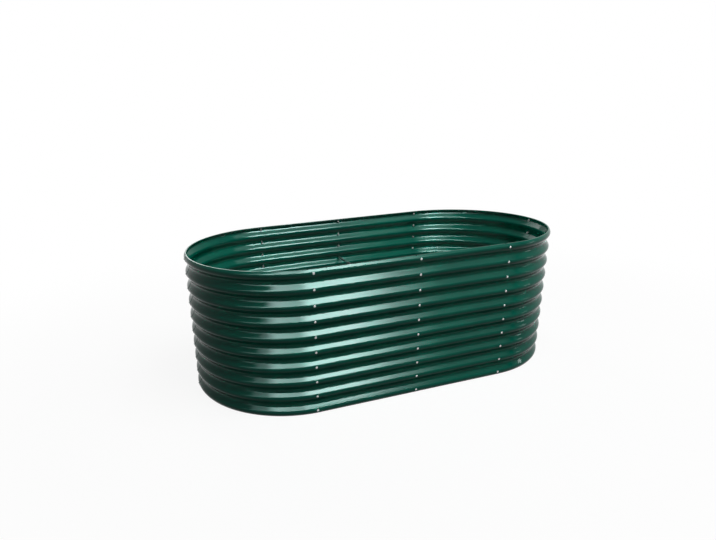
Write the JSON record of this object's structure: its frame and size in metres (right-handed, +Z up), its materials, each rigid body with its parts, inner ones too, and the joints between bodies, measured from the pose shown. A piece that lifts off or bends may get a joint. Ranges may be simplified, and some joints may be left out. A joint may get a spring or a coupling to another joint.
{
  "type": "raised garden bed",
  "caption": "Tall oval raised garden bed of lapped corrugated sheet-steel panels bolted together, with rolled rims, cross tie rods and an open bottom.",
  "frame": {"origin": "on the ground, under the middle of the bed", "axes": "+X along the bed's length, towards the viewer's right of the pictured side; that side faces -Y; +Z up"},
  "size_m": [2.0516, 1.018, 0.72],
  "materials": {
    "green_sheet": "glossy dark green coating on zinc-coated corrugated sheet steel",
    "stainless_fastener": "bright stainless steel",
    "galvanised_rod": "dull galvanised steel"
  },
  "bodies": {
    "root": {"front_left_side_panel": "green_sheet", "front_right_side_panel": "green_sheet", "back_right_side_panel": "green_sheet", "back_left_side_panel": "green_sheet", "right_front_end_panel": "green_sheet", "right_back_end_panel": "green_sheet", "left_back_end_panel": "green_sheet", "left_front_end_panel": "green_sheet", "front_left_bolts": "stainless_fastener", "front_left_washers": "stainless_fastener", "front_left_nuts": "stainless_fastener", "front_middle_bolts": "stainless_fastener", "front_middle_washers": "stainless_fastener", "front_middle_nuts": "stainless_fastener", "front_right_bolts": "stainless_fastener", "front_right_washers": "stainless_fastener", "front_right_nuts": "stainless_fastener", "right_end_bolts": "stainless_fastener", "right_end_washers": "stainless_fastener", "right_end_nuts": "stainless_fastener", "back_right_bolts": "stainless_fastener", "back_right_washers": "stainless_fastener", "back_right_nuts": "stainless_fastener", "back_middle_bolts": "stainless_fastener", "back_middle_washers": "stainless_fastener", "back_middle_nuts": "stainless_fastener", "back_left_bolts": "stainless_fastener", "back_left_washers": "stainless_fastener", "back_left_nuts": "stainless_fastener", "left_end_bolts": "stainless_fastener", "left_end_washers": "stainless_fastener", "left_end_nuts": "stainless_fastener", "lower_tie_rod": "galvanised_rod", "upper_tie_rod": "galvanised_rod"}
  },
  "joints": []
}
